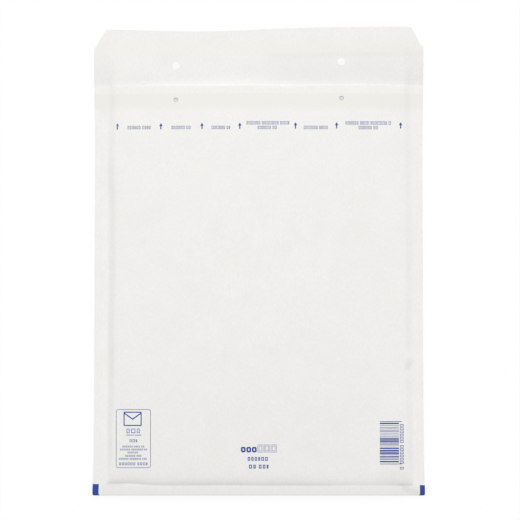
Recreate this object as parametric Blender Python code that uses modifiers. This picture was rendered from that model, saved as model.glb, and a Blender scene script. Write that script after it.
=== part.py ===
"""A padded envelope of white kraft paper with a bubble film lining, lying flat and empty with its flap open.

Lengths are in metres. In the envelope's own plan x runs across it and y up it, from the bottom fold to the
flap's tip, and z is the height above the table. The whole plan is then moved so that the origin is the middle
of the footprint.
"""

import math

import bmesh
import bpy
from mathutils import Vector

# The paper
ENVELOPE_WIDTH = 0.290
POUCH_LENGTH = 0.360  # from the bottom fold to the flap's crease
FLAP_LENGTH = 0.0518  # from the crease to the highest point of the flap's edge
PAPER_THICKNESS = 0.00015
BACK_EDGE_INSET = 0.0005  # the back panel stops this far short of the crease

# The padded pouch
PADDED_THICKNESS = 0.012
FILM_PAD_THICKNESS = 0.003  # bubble film, over its bubbles
FILM_FLAT_THICKNESS = 0.0003  # the same film where heat has flattened it
SEAL_WEB_THICKNESS = 0.0004  # the two films welded together in the side seals
LEFT_SEAL_WIDTH = 0.0125
RIGHT_SEAL_WIDTH = 0.0090
SEAL_HEIGHT = 0.0045  # the middle of the seal above the table
SEAT_GAP = 0.0003  # between faces that lie on each other
SIDE_SLOPE = 0.0110  # how far the padding takes to rise from a side seal
BOTTOM_STRIP = 0.0100  # the flattened strip along the bottom fold
BOTTOM_SLOPE = 0.0120
HOLLOW_SIDE_RISE = 0.45  # the pouch is hollow where its sides have risen this share of their height
HOLLOW_BOTTOM_RISE = 0.32
CREST_END = 0.030  # the padding starts to thin this far below the crease
SIDE_PULL_IN = 0.0012  # the padding draws each side edge in by this much
PULL_IN_LENGTH = 0.045

# The mouth and the flap
CREASE_HEIGHT = 0.0094
FLAP_TIP_HEIGHT = 0.0115
FLAP_FLATTENING = 0.034  # the flap lies flat across this far above the crease
FLAP_SKEW = 0.002  # the left end of the flap's edge is this much lower than the right
FLAP_DIP = 0.0028  # the flap's edge dips by this much, left of its middle
FLAP_DIP_X = -0.050
FLAP_DIP_REACH = 0.060
FLAP_DIP_START = 0.017  # the dip has its whole depth this far above the crease
CORNER_CUT_WIDTH = 0.0105
CORNER_CUT_HEIGHT = 0.0177
NOTCH_WIDTH = 0.0025  # the step at the foot of the right corner's cut
NOTCH_HEIGHT = 0.0016
ROUND_CORNER = 0.0023  # the height of the rounding at the right corner's top
ROUND_CORNER_WIDTH = 0.0035

# The film's flattened band at the mouth, which is bonded to the paper
BAND_INSET = 0.008  # from the crease
BAND_WIDTH = 0.0145
BAND_STEP = 0.003  # the bubbles end over this length

# The holes for paper fasteners
HOLE_SPACING = 0.1448
FLAP_HOLE_RADIUS = 0.00325
FLAP_HOLE_RISE = 0.0209  # above the crease, before the flap's dip
BODY_HOLE_RADIUS = 0.0024
BODY_HOLE_DROP = 0.0126  # below the crease
BODY_HOLE_SKEW = 0.0015  # the left body hole is this much lower than the right
HOLE_SIDES = 20
CUTTER_MARGIN = 0.004

# The print
CORNER_MARK_WIDTH = 0.005
CORNER_MARK_HEIGHT = 0.0095
ARROW_PLACES = (-0.1229, -0.0846, -0.0486, -0.0156, 0.0326, 0.0685, 0.1244)  # from the middle line
ARROW_DROP = 0.0395  # from the crease to the arrows' feet
ARROW_HEIGHT = 0.0062
ARROW_HEAD_HEIGHT = 0.0022
ARROW_HEAD_WIDTH = 0.0028
ARROW_STEM_WIDTH = 0.0008
BAR_HEIGHT = 0.0020
LOWER_BAR_DROP = 0.0386
UPPER_BAR_DROP = 0.0351
LOWER_BARS = (
    (-0.1038, 0.0199),
    (-0.0669, 0.0166),
    (-0.0324, 0.0157),
    (0.0087, 0.0175),
    (0.0508, 0.0205),
    (0.0967, 0.0172),
)  # each bar's middle and its length
UPPER_BARS = ((0.0088, 0.0370), (0.0966, 0.0402))
FRAME_INSET = 0.0207  # from the left edge
FRAME_FOOT = 0.0248
FRAME_WIDTH = 0.0307
FRAME_HEIGHT = 0.0514
FRAME_LINE = 0.0006
EMBLEM_RISE = 0.0355  # above the frame's foot
EMBLEM_WIDTH = 0.0150
EMBLEM_HEIGHT = 0.0105
FRAME_BAR_RISES = (0.0045, 0.0105, 0.0145, 0.0185, 0.0275)
FRAME_BAR_LENGTH = 0.0210
FRAME_BAR_HEIGHT = 0.0012
STRIPES_INSET = 0.0217  # from the right edge
STRIPES_FOOT = 0.0280
STRIPES_WIDTH = 0.0170
STRIPES_HEIGHT = 0.0378
STRIPE_COUNT = 11
TITLE_BARS = (
    (0.0015, 0.0382, 0.0330, 0.0062),
    (0.0003, 0.0310, 0.0186, 0.0030),
    (0.0003, 0.0244, 0.0165, 0.0030),
)  # each bar's middle, foot, length and height
PRINT_MERGE = 0.00001  # cuts this close to a vertex go through it
PRINTED_SIDE = ("white_kraft_paper", "blue_ink")  # its faces' materials
INK = PRINTED_SIDE.index("blue_ink")

# The closure on the flap's inner face
ADHESIVE_THICKNESS = 0.0001
ADHESIVE_RISE = 0.0295  # above the crease
ADHESIVE_WIDTH = 0.0105
LINER_THICKNESS = 0.0001
LINER_RISE = 0.0258
LINER_WIDTH = 0.0190

# How finely the surfaces are divided
SLOPE_STEPS = 6
CREST_STEP = 0.0250
CREST_END_STEP = 0.0060
FOLD_STEPS = 6

HALF_WIDTH = ENVELOPE_WIDTH / 2
HALF_PAPER = PAPER_THICKNESS / 2
FOLD_RADIUS = SEAL_WEB_THICKNESS / 2 + SEAT_GAP + HALF_PAPER
TIP = POUCH_LENGTH + FLAP_LENGTH
CREST_HEIGHT = PADDED_THICKNESS - HALF_PAPER
BAND_TOP = POUCH_LENGTH - BAND_INSET
BAND_BOTTOM = BAND_TOP - BAND_WIDTH

PAPER_WHITE = (0.86, 0.855, 0.835)
INK_BLUE = (0.020, 0.065, 0.400)
FILM_CLEAR = (0.82, 0.86, 0.88)
ADHESIVE_AMBER = (0.80, 0.72, 0.48)
LINER_CREAM = (0.88, 0.85, 0.74)


def smooth(t):
    """Rises from 0 to 1 with level ends."""
    t = min(max(t, 0.0), 1.0)
    return t * t * (3 - 2 * t)


def rounded(t):
    """Rises from 0 to 1, steepest at first and level at the end."""
    t = min(max(t, 0.0), 1.0)
    return 1 - (1 - t) ** 2


def flap_dip(x):
    """How far the flap's edge lies below its highest point at x."""
    lean = FLAP_SKEW * (HALF_WIDTH - x) / ENVELOPE_WIDTH
    return lean + FLAP_DIP * math.exp(-(((x - FLAP_DIP_X) / FLAP_DIP_REACH) ** 2))


def pulled_in(y):
    """How far the padding has drawn a side edge in at y."""
    along_pouch = smooth((y - BOTTOM_STRIP) / PULL_IN_LENGTH)
    past_mouth = smooth((y - POUCH_LENGTH + PULL_IN_LENGTH) / (2 * PULL_IN_LENGTH))
    return SIDE_PULL_IN * along_pouch * (1 - past_mouth)


def left_cut(y):
    """How much the left corner's straight cut takes off the width at y."""
    return CORNER_CUT_WIDTH * max(0.0, 1 - (TIP - y) / CORNER_CUT_HEIGHT)


def right_cut(y):
    """The right corner's cut, with a notch at its foot and a rounded top."""
    notch = NOTCH_WIDTH * min(1.0, max(0.0, 1 - (TIP - CORNER_CUT_HEIGHT + NOTCH_HEIGHT - y) / NOTCH_HEIGHT))
    slant = (CORNER_CUT_WIDTH - NOTCH_WIDTH) * max(0.0, 1 - (TIP - y) / (CORNER_CUT_HEIGHT - NOTCH_HEIGHT))
    return notch + slant + ROUND_CORNER_WIDTH * max(0.0, 1 - (TIP - y) / ROUND_CORNER) ** 2


def sheet_x(station, y):
    """The place across the sheet of a station, which is its distance from the middle line before any cut."""
    left = -HALF_WIDTH + pulled_in(y) + left_cut(y)
    right = HALF_WIDTH - pulled_in(y) - right_cut(y)
    return left + (right - left) * (station + HALF_WIDTH) / ENVELOPE_WIDTH


def sheet_y(x, y):
    """The place up the sheet of a point that would lie at y on a square-cut flap."""
    return y - flap_dip(x) * smooth((y - POUCH_LENGTH) / FLAP_DIP_START)


def side_rise(station):
    """How far the padding has risen beside a side seal: 0 on the seal and 1 on the crest."""
    seal_width = LEFT_SEAL_WIDTH if station < 0 else RIGHT_SEAL_WIDTH
    return smooth((HALF_WIDTH - seal_width - abs(station)) / SIDE_SLOPE)


def bottom_rise(y):
    """How far the padding has risen above the bottom strip."""
    return rounded((y - BOTTOM_STRIP) / BOTTOM_SLOPE)


def crest(y):
    """The height of the front panel's middle line."""
    down = smooth((y - POUCH_LENGTH + CREST_END) / CREST_END)
    up = smooth((y - POUCH_LENGTH) / FLAP_LENGTH)
    return CREST_HEIGHT + (CREASE_HEIGHT - CREST_HEIGHT) * down + (FLAP_TIP_HEIGHT - CREASE_HEIGHT) * up


def front_z(station, y):
    """The height of the middle of the paper in the front panel and the flap."""
    seal = SEAL_HEIGHT + FOLD_RADIUS
    seal += (crest(y) - seal) * smooth((y - POUCH_LENGTH) / FLAP_FLATTENING)
    rise = side_rise(station) * bottom_rise(y)
    return seal + (crest(y) - seal) * rise


def back_z(station, y):
    """The height of the middle of the paper in the back panel, whose crest lies on the table."""
    seal = SEAL_HEIGHT - FOLD_RADIUS
    rise = side_rise(station) * bottom_rise(y)
    return seal + (HALF_PAPER - seal) * rise


def film_thickness(y):
    """The film's thickness at y: full over its bubbles, and flat in the band at the mouth."""
    flat = smooth((y - BAND_BOTTOM + BAND_STEP) / BAND_STEP)
    return FILM_PAD_THICKNESS + (FILM_FLAT_THICKNESS - FILM_PAD_THICKNESS) * flat


def film_top(station, y):
    return front_z(station, y) - HALF_PAPER - SEAT_GAP


def film_bottom(station, y):
    return back_z(station, y) + HALF_PAPER + SEAT_GAP


def pad_thickness(station, y):
    """The film's thickness beside the pouch's hollow, where the slopes squeeze it."""
    room = film_top(station, y) - film_bottom(station, y) - SEAT_GAP
    return min(film_thickness(y), room / 2)


def hollow_top(station, y):
    return film_top(station, y) - pad_thickness(station, y)


def hollow_bottom(station, y):
    return film_bottom(station, y) + pad_thickness(station, y)


def flap_under(depth):
    """The surface that lies this far under the middle of the flap's paper."""
    return lambda station, y: front_z(station, y) - depth


def steps(start, end, longest):
    """Points from start up to but not including end, evenly spaced and at most longest apart."""
    count = max(1, math.ceil((end - start) / longest - 1e-6))
    return [start + (end - start) * k / count for k in range(count)]


def stations_beside(seal_width):
    """The columns from the middle line to the edge on one side, as distances."""
    slope_foot = HALF_WIDTH - seal_width
    crest_edge = slope_foot - SIDE_SLOPE
    columns = steps(0.0, crest_edge, CREST_STEP)[1:]
    return columns + steps(crest_edge, slope_foot, SIDE_SLOPE / SLOPE_STEPS) + [slope_foot, HALF_WIDTH]


def stations_across():
    """The columns of every surface, from the left edge to the right."""
    left = [-x for x in reversed(stations_beside(LEFT_SEAL_WIDTH))]
    return left + [0.0] + stations_beside(RIGHT_SEAL_WIDTH)


def slope_rows():
    """Rows up the strip and the slope above it, closest together where the slope is steepest."""
    slope = [BOTTOM_STRIP + BOTTOM_SLOPE * (k / SLOPE_STEPS) ** 1.5 for k in range(SLOPE_STEPS + 1)]
    return [FOLD_RADIUS] + slope


def pouch_rows():
    """Rows from the bottom fold up to the flattened band's top edge."""
    ramp = slope_rows()
    pull_in_end = BOTTOM_STRIP + PULL_IN_LENGTH
    rows = ramp + steps(ramp[-1], pull_in_end, CREST_STEP)[1:]
    crest_end = POUCH_LENGTH - PULL_IN_LENGTH
    rows += steps(pull_in_end, crest_end, (crest_end - pull_in_end) / 4)
    rows += steps(crest_end, BAND_BOTTOM - BAND_STEP, CREST_END_STEP)
    rows += steps(BAND_BOTTOM - BAND_STEP, BAND_BOTTOM, BAND_STEP / 3)
    return rows + steps(BAND_BOTTOM, BAND_TOP, BAND_WIDTH / 4) + [BAND_TOP]


def liner_rows():
    """Rows up the release liner, which holds the adhesive's own rows."""
    low = POUCH_LENGTH + LINER_RISE
    adhesive = adhesive_rows()
    high = low + LINER_WIDTH
    return [low] + adhesive + steps(adhesive[-1], high, LINER_WIDTH / 4)[1:] + [high]


def adhesive_rows():
    low = POUCH_LENGTH + ADHESIVE_RISE
    return steps(low, low + ADHESIVE_WIDTH, ADHESIVE_WIDTH / 3) + [low + ADHESIVE_WIDTH]


def flap_rows():
    """Rows from above the crease to the flap's tip."""
    rows = steps(POUCH_LENGTH, POUCH_LENGTH + LINER_RISE, LINER_RISE / 6)[1:] + liner_rows()
    rows += [TIP - CORNER_CUT_HEIGHT, TIP - CORNER_CUT_HEIGHT + NOTCH_HEIGHT]
    rows += steps(TIP - ROUND_CORNER, TIP, ROUND_CORNER / 3) + [TIP]
    return sorted(set(rows))


def sheet_rows():
    """The rows of the whole sheet, from the back panel's mouth edge round the fold to the flap's tip.

    Each is the panel's name and a place, which is an angle in the fold and a height up the plan elsewhere.
    """
    pouch = pouch_rows()
    back = [POUCH_LENGTH - BACK_EDGE_INSET] + pouch[::-1]
    fold = [math.pi * (k / FOLD_STEPS - 0.5) for k in range(1, FOLD_STEPS)]
    front = pouch + steps(BAND_TOP, POUCH_LENGTH, BAND_INSET / 3)[1:] + [POUCH_LENGTH] + flap_rows()
    return [("back", y) for y in back] + [("fold", a) for a in fold] + [("front", y) for y in front]


def sheet_point(station, row):
    panel, place = row
    if panel == "fold":
        y = FOLD_RADIUS * (1 - math.cos(place))
        return sheet_x(station, y), y, SEAL_HEIGHT + FOLD_RADIUS * math.sin(place)
    x = sheet_x(station, place)
    if panel == "back":
        return x, place, back_z(station, place)
    return x, sheet_y(x, place), front_z(station, place)


def material(name, colour, roughness, alpha=1.0):
    made = bpy.data.materials.new(name)
    made.use_nodes = True
    shader = made.node_tree.nodes["Principled BSDF"]
    shader.inputs["Base Color"].default_value = (*colour, 1.0)
    shader.inputs["Roughness"].default_value = roughness
    shader.inputs["Metallic"].default_value = 0.0
    shader.inputs["Alpha"].default_value = alpha
    return made


def collection(name):
    made = bpy.data.collections.new(name)
    bpy.context.scene.collection.children.link(made)
    return made


def object_from(bm, name, into, finish=None):
    mesh = bpy.data.meshes.new(name)
    bm.to_mesh(mesh)
    bm.free()
    made = bpy.data.objects.new(name, mesh)
    into.objects.link(made)
    if finish:
        mesh.materials.append(finish)
    return made


def station_and_row(vertex, columns, rows):
    """The column and the row that a vertex of a unit grid stands for."""
    column = round((vertex.co.x + 0.5) * (len(columns) - 1))
    row = round((vertex.co.y + 0.5) * (len(rows) - 1))
    return columns[column], rows[row]


def unit_grid(columns, rows):
    bm = bmesh.new()
    bmesh.ops.create_grid(bm, x_segments=len(columns) - 1, y_segments=len(rows) - 1, size=0.5)
    return bm


def block_between(name, columns, rows, top, bottom, into, finish=None):
    """A closed solid between two surfaces over the same part of the plan."""
    bm = unit_grid(columns, rows)
    extruded = bmesh.ops.extrude_face_region(bm, geom=list(bm.faces))["geom"]
    upper = {v for v in extruded if isinstance(v, bmesh.types.BMVert)}
    for vertex in bm.verts:
        station, y = station_and_row(vertex, columns, rows)
        surface = top if vertex in upper else bottom
        x = sheet_x(station, y)
        vertex.co = (x, sheet_y(x, y), surface(station, y))
    bmesh.ops.recalc_face_normals(bm, faces=list(bm.faces))
    return object_from(bm, name, into, finish)


def cylinder_cutter(name, x, y, radius, into):
    bm = bmesh.new()
    depth = PADDED_THICKNESS + 2 * CUTTER_MARGIN
    bmesh.ops.create_cone(
        bm, cap_ends=True, segments=HOLE_SIDES, radius1=radius, radius2=radius, depth=depth
    )
    made = object_from(bm, name, into)
    made.location = (x, y, PADDED_THICKNESS / 2)
    made.hide_render = True
    made.display_type = "WIRE"
    return made


def cut(made, cutters):
    modifier = made.modifiers.new("cut_" + cutters.name, "BOOLEAN")
    modifier.operation = "DIFFERENCE"
    modifier.operand_type = "COLLECTION"
    modifier.collection = cutters
    modifier.solver = "EXACT"


def rectangle(middle, foot, width, height):
    low, high = middle - width / 2, middle + width / 2
    return [(low, foot), (high, foot), (high, foot + height), (low, foot + height)]


def arrow(middle):
    """An upright arrow as a stem and a head."""
    foot = POUCH_LENGTH - ARROW_DROP
    neck = foot + ARROW_HEIGHT - ARROW_HEAD_HEIGHT
    stem = rectangle(middle, foot, ARROW_STEM_WIDTH, neck - foot)
    half = ARROW_HEAD_WIDTH / 2
    head = [(middle - half, neck), (middle + half, neck), (middle, neck + ARROW_HEAD_HEIGHT)]
    return [stem, head]


def opening_line():
    """The arrows across the envelope where it is torn open, with bars in the words' place."""
    shapes = [shape for place in ARROW_PLACES for shape in arrow(place)]
    for drop, bars in ((LOWER_BAR_DROP, LOWER_BARS), (UPPER_BAR_DROP, UPPER_BARS)):
        shapes += [rectangle(middle, POUCH_LENGTH - drop, length, BAR_HEIGHT) for middle, length in bars]
    return shapes


def framed_label():
    """The frame at the lower left with a plain emblem over bars."""
    left = FRAME_INSET - HALF_WIDTH
    middle = left + FRAME_WIDTH / 2
    top = FRAME_FOOT + FRAME_HEIGHT
    shapes = [
        rectangle(middle, FRAME_FOOT, FRAME_WIDTH, FRAME_LINE),
        rectangle(middle, top - FRAME_LINE, FRAME_WIDTH, FRAME_LINE),
        rectangle(left + FRAME_LINE / 2, FRAME_FOOT, FRAME_LINE, FRAME_HEIGHT),
        rectangle(left + FRAME_WIDTH - FRAME_LINE / 2, FRAME_FOOT, FRAME_LINE, FRAME_HEIGHT),
        rectangle(middle, FRAME_FOOT + EMBLEM_RISE, EMBLEM_WIDTH, EMBLEM_HEIGHT),
    ]
    for rise in FRAME_BAR_RISES:
        shapes.append(rectangle(middle, FRAME_FOOT + rise, FRAME_BAR_LENGTH, FRAME_BAR_HEIGHT))
    return shapes


def stripes():
    """The field of stripes at the lower right, as wide as the gaps between them."""
    middle = HALF_WIDTH - STRIPES_INSET - STRIPES_WIDTH / 2
    height = STRIPES_HEIGHT / (2 * STRIPE_COUNT - 1)
    feet = [STRIPES_FOOT + 2 * height * k for k in range(STRIPE_COUNT)]
    return [rectangle(middle, foot, STRIPES_WIDTH, height) for foot in feet]


def imprint(bm, outline, upward_only=True):
    """Cuts a convex outline, given anticlockwise, into the sheet and inks the faces inside it."""
    spans = [(min(values), max(values)) for values in zip(*outline)]
    edges = list(zip(outline, outline[1:] + outline[:1]))

    def reached(face):
        if upward_only and face.normal.z <= 0:
            return False
        for axis, (low, high) in enumerate(spans):
            values = [vertex.co[axis] for vertex in face.verts]
            if max(values) < low + PRINT_MERGE or min(values) > high - PRINT_MERGE:
                return False
        return True

    for (ax, ay), (bx, by) in edges:
        faces = [face for face in bm.faces if reached(face)]
        geometry = set(faces)
        geometry.update(edge for face in faces for edge in face.edges)
        geometry.update(vertex for face in faces for vertex in face.verts)
        bmesh.ops.bisect_plane(
            bm,
            geom=list(geometry),
            dist=PRINT_MERGE,
            plane_co=(ax, ay, 0.0),
            plane_no=Vector((by - ay, ax - bx, 0.0)).normalized(),
        )
        bm.normal_update()
    for face in bm.faces:
        middle = face.calc_center_median()
        turns = [(bx - ax) * (middle.y - ay) - (by - ay) * (middle.x - ax) for (ax, ay), (bx, by) in edges]
        if reached(face) and min(turns) > 0:
            face.material_index = INK


def paper_envelope(into):
    """The one sheet of paper, folded at the bottom, with the flap at the front panel's end."""
    columns, rows = stations_across(), sheet_rows()
    bm = unit_grid(columns, rows)
    for vertex in bm.verts:
        vertex.co = sheet_point(*station_and_row(vertex, columns, rows))
    bm.normal_update()
    for outline in opening_line() + framed_label() + stripes():
        imprint(bm, outline)
    for middle, foot, length, height in TITLE_BARS:
        imprint(bm, rectangle(middle, foot, length, height))
    for side in (-1, 1):
        middle = side * (HALF_WIDTH - CORNER_MARK_WIDTH / 2)
        mark = rectangle(middle, 0.0, CORNER_MARK_WIDTH, CORNER_MARK_HEIGHT)
        imprint(bm, mark, upward_only=False)
    made = object_from(bm, "paper_envelope", into)
    white = material(PRINTED_SIDE[0], PAPER_WHITE, 0.85)
    ink = material(PRINTED_SIDE[INK], INK_BLUE, 0.6)
    for finish in (white, ink, white, white):
        made.data.materials.append(finish)
    solid = made.modifiers.new("paper_thickness", "SOLIDIFY")
    solid.thickness = PAPER_THICKNESS
    solid.offset = 0.0
    solid.use_even_offset = True
    solid.material_offset = len(PRINTED_SIDE)  # the inner side has no print
    solid.material_offset_rim = len(PRINTED_SIDE)
    return made


def bubble_film_lining(into, cutters, finish):
    """The film pouch: a pad under each panel, welded into one web along the side seals and the bottom."""
    columns = stations_across()
    rows = [PAPER_THICKNESS + SEAT_GAP] + pouch_rows()
    made = block_between("bubble_film_lining", columns, rows, film_top, film_bottom, into, finish)
    hollow_columns = [x for x in columns if side_rise(x) > HOLLOW_SIDE_RISE]
    hollow_rows = [y for y in rows if bottom_rise(y) > HOLLOW_BOTTOM_RISE] + [POUCH_LENGTH]
    hollow = block_between(
        "pouch_hollow", hollow_columns, hollow_rows, hollow_top, hollow_bottom, cutters
    )
    hollow.hide_render = True
    hollow.display_type = "WIRE"
    return made


def main():
    for old in list(bpy.data.objects):
        bpy.data.objects.remove(old)
    parts = collection("padded_envelope")
    body_cutters = collection("body_hole_cutters")
    flap_cutters = collection("flap_hole_cutters")
    hollow_cutters = collection("hollow_cutters")

    for side, name in ((-1, "left"), (1, "right")):
        x = side * HOLE_SPACING / 2
        body_y = POUCH_LENGTH - BODY_HOLE_DROP + side * BODY_HOLE_SKEW / 2
        flap_y = sheet_y(x, POUCH_LENGTH + FLAP_HOLE_RISE)
        cylinder_cutter(f"body_hole_{name}", x, body_y, BODY_HOLE_RADIUS, body_cutters)
        cylinder_cutter(f"flap_hole_{name}", x, flap_y, FLAP_HOLE_RADIUS, flap_cutters)

    paper = paper_envelope(parts)
    cut(paper, body_cutters)
    cut(paper, flap_cutters)

    film = bubble_film_lining(parts, hollow_cutters, material("clear_film", FILM_CLEAR, 0.2, 0.6))
    cut(film, hollow_cutters)
    cut(film, body_cutters)

    columns = stations_across()
    adhesive_top = HALF_PAPER + SEAT_GAP
    adhesive_bottom = adhesive_top + ADHESIVE_THICKNESS
    block_between(
        "closure_adhesive",
        columns[1:-1],
        adhesive_rows(),
        flap_under(adhesive_top),
        flap_under(adhesive_bottom),
        parts,
        material("amber_adhesive", ADHESIVE_AMBER, 0.3),
    )
    liner_top = adhesive_bottom + SEAT_GAP
    block_between(
        "release_liner",
        columns,
        liner_rows(),
        flap_under(liner_top),
        flap_under(liner_top + LINER_THICKNESS),
        parts,
        material("silicone_paper", LINER_CREAM, 0.35),
    )

    middle = bpy.data.objects.new("footprint_middle", None)
    parts.objects.link(middle)
    for made in list(bpy.data.objects):
        if made is not middle:
            made.parent = middle
    middle.location = (0.0, -TIP / 2, 0.0)


main()
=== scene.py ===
"""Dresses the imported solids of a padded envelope: white kraft paper, bubble film, closure strip and print.

Lengths are in metres. The plan of the envelope has x across it and y up it, counted from the bottom fold, and
every surface is a height over that plan. On the stage the plan's middle stands at the origin.
"""

import math
import random

import bmesh
import bpy
from bpy.props import FloatProperty, FloatVectorProperty, IntProperty, PointerProperty
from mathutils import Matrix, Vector, noise
from mathutils.bvhtree import BVHTree


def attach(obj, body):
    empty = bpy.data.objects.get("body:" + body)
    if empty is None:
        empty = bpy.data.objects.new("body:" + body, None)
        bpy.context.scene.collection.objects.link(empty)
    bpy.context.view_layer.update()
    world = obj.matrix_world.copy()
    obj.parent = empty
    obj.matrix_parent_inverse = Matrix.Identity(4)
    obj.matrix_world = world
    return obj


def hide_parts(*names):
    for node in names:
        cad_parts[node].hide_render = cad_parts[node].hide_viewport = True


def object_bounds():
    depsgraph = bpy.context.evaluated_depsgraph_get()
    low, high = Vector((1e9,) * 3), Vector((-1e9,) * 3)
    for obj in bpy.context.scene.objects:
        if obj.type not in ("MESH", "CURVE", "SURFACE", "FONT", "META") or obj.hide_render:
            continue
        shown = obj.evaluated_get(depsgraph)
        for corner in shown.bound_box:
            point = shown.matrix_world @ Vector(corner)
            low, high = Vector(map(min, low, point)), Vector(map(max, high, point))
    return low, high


bl_info = {
    "name": "Padded Envelope",
    "version": (1, 0, 0),
    "blender": (4, 5, 0),
    "location": "View3D > Sidebar > Envelope",
    "description": "Makes a padded paper envelope with its bubble film lining, closure strip and print",
    "category": "Object",
}

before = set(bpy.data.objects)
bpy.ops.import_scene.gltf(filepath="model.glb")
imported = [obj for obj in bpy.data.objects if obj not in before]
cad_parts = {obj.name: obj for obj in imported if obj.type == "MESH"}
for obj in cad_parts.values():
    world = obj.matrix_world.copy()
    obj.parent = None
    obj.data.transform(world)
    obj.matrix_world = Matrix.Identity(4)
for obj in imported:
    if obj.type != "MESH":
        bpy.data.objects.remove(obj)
CAD_LOW, CAD_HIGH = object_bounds()
ENVELOPE_WIDTH = CAD_HIGH[0] - CAD_LOW[0]
ENVELOPE_LENGTH = CAD_HIGH[1] - CAD_LOW[1]
PADDED_THICKNESS = CAD_HIGH[2] - CAD_LOW[2]
PAPER_THICKNESS = 0.00015
FOLD_AT = CAD_LOW[1] + PAPER_THICKNESS / 2  # where the middle of the paper lies at the bottom fold
BODY = "root"
SHEET_ANGLE = 40.0  # in degrees: a sheet's edge that is sharper than this stays sharp
INK_ANGLE = 60.0
FOLD_STEPS = 10  # faces round the paper's bottom fold
CREASE_ROWS = 0.030  # within this distance of the crease the paper's rows follow its bend
SLOPES_END = 0.026  # within this distance of an edge a sheet's points lie closer together


def length(name, description, default):
    """A property that is a length."""
    return FloatProperty(name=name, description=description, default=default, unit="LENGTH", precision=5)


def colour(name, description, default):
    """A property that is a colour."""
    return FloatVectorProperty(
        name=name, description=description, default=default, subtype="COLOR", size=3, min=0.0, max=1.0
    )


class EnvelopeSizes(bpy.types.PropertyGroup):
    """The sizes that every piece of the envelope follows."""

    width: length("Width", "Across the envelope, over its side seals", ENVELOPE_WIDTH)
    total_length: length("Length", "From the bottom fold to the flap's tip", ENVELOPE_LENGTH)
    flap_length: length("Flap length", "From the crease to the flap's tip", 0.0518)
    thickness: length("Thickness", "Of the padded pouch as it lies", PADDED_THICKNESS)
    paper_thickness: length("Paper thickness", "Of the kraft paper", PAPER_THICKNESS)
    seat_gap: length("Seat gap", "Between faces that lie on each other", 0.0003)
    film_thickness: length("Film thickness", "Of the film between its bubbles", 0.00015)
    seal_height: length("Seal height", "Of the side seals above the table", 0.0045)
    left_seal: length("Left seal", "Width of the flat seal at the left", 0.0117)
    right_seal: length("Right seal", "Width of the flat seal at the right", 0.0090)
    side_slope: length("Side slope", "How far the padding takes to rise from a seal", 0.0096)
    bottom_strip: length("Bottom strip", "Width of the flattened strip along the bottom fold", 0.0087)
    bottom_slope: length("Bottom slope", "How far the padding's steep rise from the strip takes", 0.0037)
    bottom_ease: length("Bottom ease", "How far the padding's slow rise above the strip takes", 0.1400)
    left_rise: length("Left rise", "How much the padding rises beside the left seal", 0.0044)
    right_rise: length("Right rise", "How much the padding rises beside the right seal", 0.0026)
    pull_in: length("Side pull-in", "How far the padding draws each side edge in", 0.00115)
    flap_height: length("Flap height", "Of the flap's highest line above the table", 0.0117)
    band_inset: length("Band inset", "From the crease to the bonded band", 0.0075)
    band_width: length("Band width", "Of the film's flattened and bonded band", 0.0145)


class PaperLook(bpy.types.PropertyGroup):
    """The finish and the unevenness of the kraft paper."""

    white: colour("White", "The paper's own colour", (0.8750, 0.8690, 0.8500))
    shade: colour("Fibre shade", "The colour of the paper's darker fibres", (0.8270, 0.8200, 0.8000))
    band: colour("Band tint", "The paper where film is bonded behind it", (0.822, 0.811, 0.774))
    # Glue tint: the adhesive's tint through the flap, together with a painted shadow of the adhesive
    glue_and_shadow: colour("Glue tint", "The paper where adhesive shows through it", (0.855, 0.845, 0.812))
    roughness: FloatProperty(name="Roughness", description="Of the paper", default=0.78, min=0.0, max=1.0)
    swell: length("Swell", "Height of the soft unevenness over the padding", 0.00022)
    flap_wave: length("Flap wave", "Height of the waves in the free flap", 0.00045)
    lip: length("Crease fall", "The short fall of the paper just past the flap's crease", 0.00042)
    body_hole: length("Body hole radius", "Of the holes below the crease", 0.0021)
    flap_hole: length("Flap hole radius", "Of the holes in the flap", 0.00325)
    hole_spacing: length("Hole spacing", "Between the holes of a pair", 0.1456)


class FilmLook(bpy.types.PropertyGroup):
    """The bubble film."""

    clear: colour("Film", "The film's colour", (0.86, 0.90, 0.92))
    alpha: FloatProperty(
        name="Alpha", description="How much of the film is seen", default=0.72, min=0.0, max=1.0
    )
    pitch: length("Bubble pitch", "Between the middles of two bubbles in a row", 0.0112)
    radius: length("Bubble radius", "Of a bubble at its foot", 0.0050)
    pad: length("Padding", "Of the film over its bubbles", 0.0028)


class ClosureLook(bpy.types.PropertyGroup):
    """The adhesive strip and the liner that covers it."""

    adhesive: colour("Adhesive", "The adhesive's colour", (0.78, 0.68, 0.42))
    liner: colour("Liner", "The liner's colour", (0.86, 0.83, 0.70))
    strip_thickness: length("Strip thickness", "Of the adhesive and of the liner", 0.0001)
    adhesive_rise: length("Adhesive rise", "From the crease to the adhesive", 0.0295)
    adhesive_width: length("Adhesive width", "Of the adhesive strip", 0.0105)
    liner_rise: length("Liner rise", "From the crease to the liner", 0.0258)
    liner_width: length("Liner width", "Of the liner", 0.0190)


class PrintLook(bpy.types.PropertyGroup):
    """The print."""

    ink: colour("Ink", "The blue ink", (0.015, 0.050, 0.300))
    faded: colour("Thin ink", "The ink where it lies thinly", (0.040, 0.095, 0.390))
    lift: length("Ink height", "Of the ink's face above the paper", 0.00006)
    left_mark_width: length("Left mark width", "Of the mark at the bottom left corner", 0.0054)
    left_mark_height: length("Left mark height", "Of the mark at the bottom left corner", 0.0098)
    right_mark_width: length("Right mark width", "Of the mark at the bottom right corner", 0.0044)
    right_mark_height: length("Right mark height", "Of the mark at the bottom right corner", 0.0088)
    seed: IntProperty(name="Seed", description="Sets the patterns of the words and stripes", default=7)


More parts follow.
